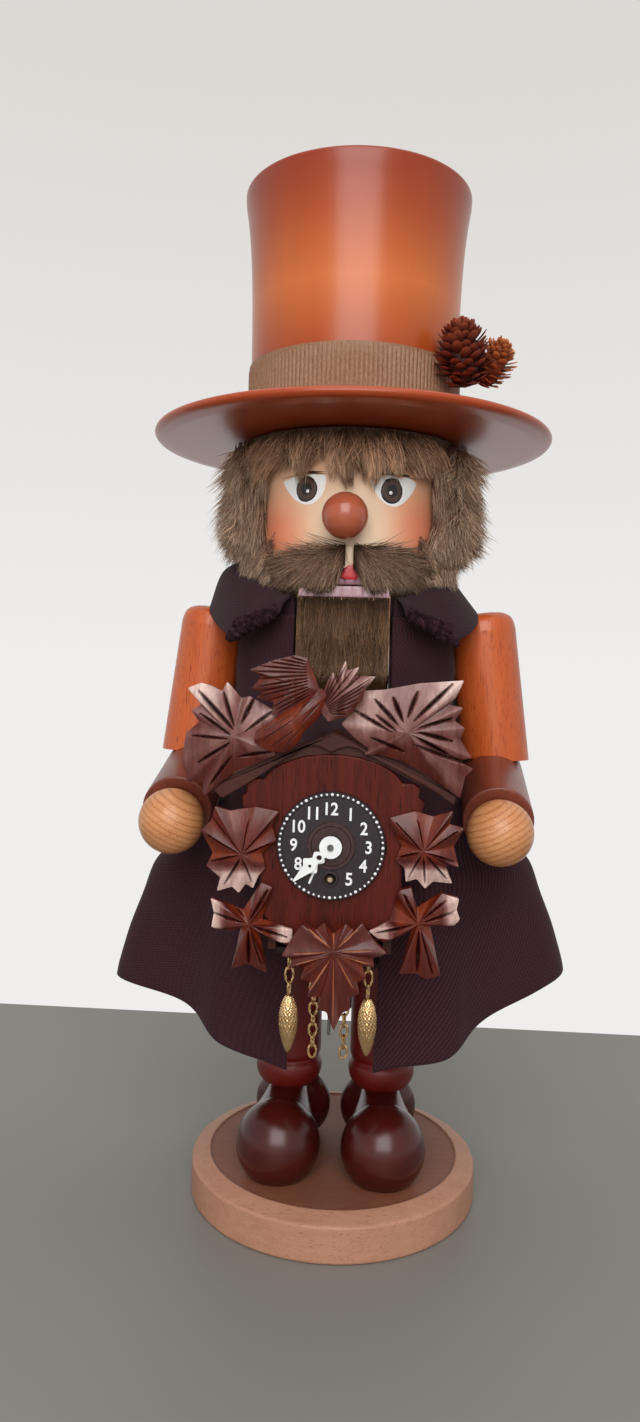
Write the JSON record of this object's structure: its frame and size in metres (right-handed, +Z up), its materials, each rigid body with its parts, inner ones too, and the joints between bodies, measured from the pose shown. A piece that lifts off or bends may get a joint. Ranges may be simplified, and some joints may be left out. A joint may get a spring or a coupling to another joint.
{
  "type": "wooden nutcracker",
  "caption": "Turned wooden nutcracker man with a lever-worked jaw, fur hair and cloth coat, holding a small carved wall clock with pendulum and cone weights in front of him.",
  "frame": {"origin": "centre of the base plate's underside, where the figure stands", "axes": "+Z up along the turned body, -Y the way the figure faces, +X to the right as seen from the front"},
  "size_m": [0.1944, 0.1859, 0.442],
  "materials": {
    "beech": "satin",
    "red_brown_lacquer": "gloss",
    "skin_paint": "satin",
    "nose_paint": "satin",
    "hat_lacquer": "gloss",
    "ribbon": "matte",
    "fur": "matte",
    "cone_scales": "matte",
    "arm_stain": "satin",
    "sleeve_paint": "satin",
    "aubergine_twill": "matte",
    "carved_wood": "satin",
    "dial_black": "satin",
    "white_plastic": "satin",
    "brass": "satin",
    "steel": "satin"
  },
  "bodies": {
    "figure": {"base_plate": "beech", "shoe_left": "red_brown_lacquer", "shoe_right": "red_brown_lacquer", "shoe_dowel_left": "beech", "shoe_dowel_right": "beech", "leg_left": "red_brown_lacquer", "leg_right": "red_brown_lacquer", "body_block": "skin_paint", "lever_pin": "steel", "nose": "nose_paint", "moustache_left": "fur", "moustache_right": "fur", "hair_wig": "fur", "hair_fringe": "fur", "hat_brim": "hat_lacquer", "hat_crown": "hat_lacquer", "hat_band": "ribbon", "hat_dowel": "beech", "hat_cone_large": "cone_scales", "hat_cone_small": "cone_scales", "upper_arm_left": "arm_stain", "upper_arm_right": "arm_stain", "forearm_left": "sleeve_paint", "forearm_right": "sleeve_paint", "hand_left": "beech", "hand_right": "beech", "shoulder_dowel_left": "beech", "shoulder_dowel_right": "beech", "coat": "aubergine_twill", "collar": "aubergine_twill", "clock_mount_block": "beech", "clock_case": "carved_wood", "clock_front": "carved_wood", "clock_roof": "carved_wood", "bird": "carved_wood", "leaf_top_left": "carved_wood", "leaf_top_right": "carved_wood", "leaf_side_left": "carved_wood", "leaf_side_right": "carved_wood", "leaf_lower_left": "carved_wood", "leaf_lower_right": "carved_wood", "leaf_bottom": "carved_wood", "clock_dial": "dial_black", "movement_plates": "steel"},
    "jaw": {"jaw_lever": "skin_paint", "beard": "fur"},
    "minute_work": {"minute_hand": "white_plastic", "minute_arbor": "steel"},
    "hour_work": {"hour_hand": "white_plastic", "hour_wheel": "brass"},
    "winding_work": {"winding_arbor": "brass", "mainspring_barrel": "brass"},
    "pendulum": {"pendulum": "steel"},
    "weight_left": {"chain_left": "brass", "weight_left": "brass"},
    "weight_right": {"chain_right": "brass", "weight_right": "brass"},
    "tail_left": {"chain_tail_left": "brass"},
    "tail_right": {"chain_tail_right": "brass"}
  },
  "joints": [
    {"name": "jaw_hinge", "type": "hinge", "parent": "figure", "child": "jaw", "pos_m": [0, -0.006, 0.232], "axis": [1, 0, 0], "range_deg": [0, 20]},
    {"name": "minute_turn", "type": "hinge", "parent": "figure", "child": "minute_work", "pos_m": [0, -0.089, 0.1716], "axis": [0, 1, 0], "continuous": true},
    {"name": "hour_turn", "type": "hinge", "parent": "figure", "child": "hour_work", "pos_m": [0, -0.089, 0.1716], "axis": [0, 1, 0], "continuous": true},
    {"name": "winding_turn", "type": "hinge", "parent": "figure", "child": "winding_work", "pos_m": [0, -0.089, 0.1595], "axis": [0, 1, 0], "continuous": true},
    {"name": "pendulum_swing", "type": "hinge", "parent": "figure", "child": "pendulum", "pos_m": [0, -0.0671, 0.166], "axis": [0, 1, 0], "range_deg": [-6, 6]},
    {"name": "weight_left_swing", "type": "hinge", "parent": "figure", "child": "weight_left", "pos_m": [-0.0149, -0.0784, 0.1284], "axis": [0, 1, 0], "range_deg": [-8, 8]},
    {"name": "weight_right_swing", "type": "hinge", "parent": "figure", "child": "weight_right", "pos_m": [0.0149, -0.0784, 0.1284], "axis": [0, 1, 0], "range_deg": [-8, 8]},
    {"name": "tail_left_swing", "type": "hinge", "parent": "figure", "child": "tail_left", "pos_m": [-0.006, -0.0714, 0.1284], "axis": [0, 1, 0], "range_deg": [-8, 8]},
    {"name": "tail_right_swing", "type": "hinge", "parent": "figure", "child": "tail_right", "pos_m": [0.006, -0.0714, 0.1284], "axis": [0, 1, 0], "range_deg": [-8, 8]}
  ],
  "couplings": [
    {"joint": "hour_turn", "follows": "minute_turn", "ratio": 0.083333}
  ]
}
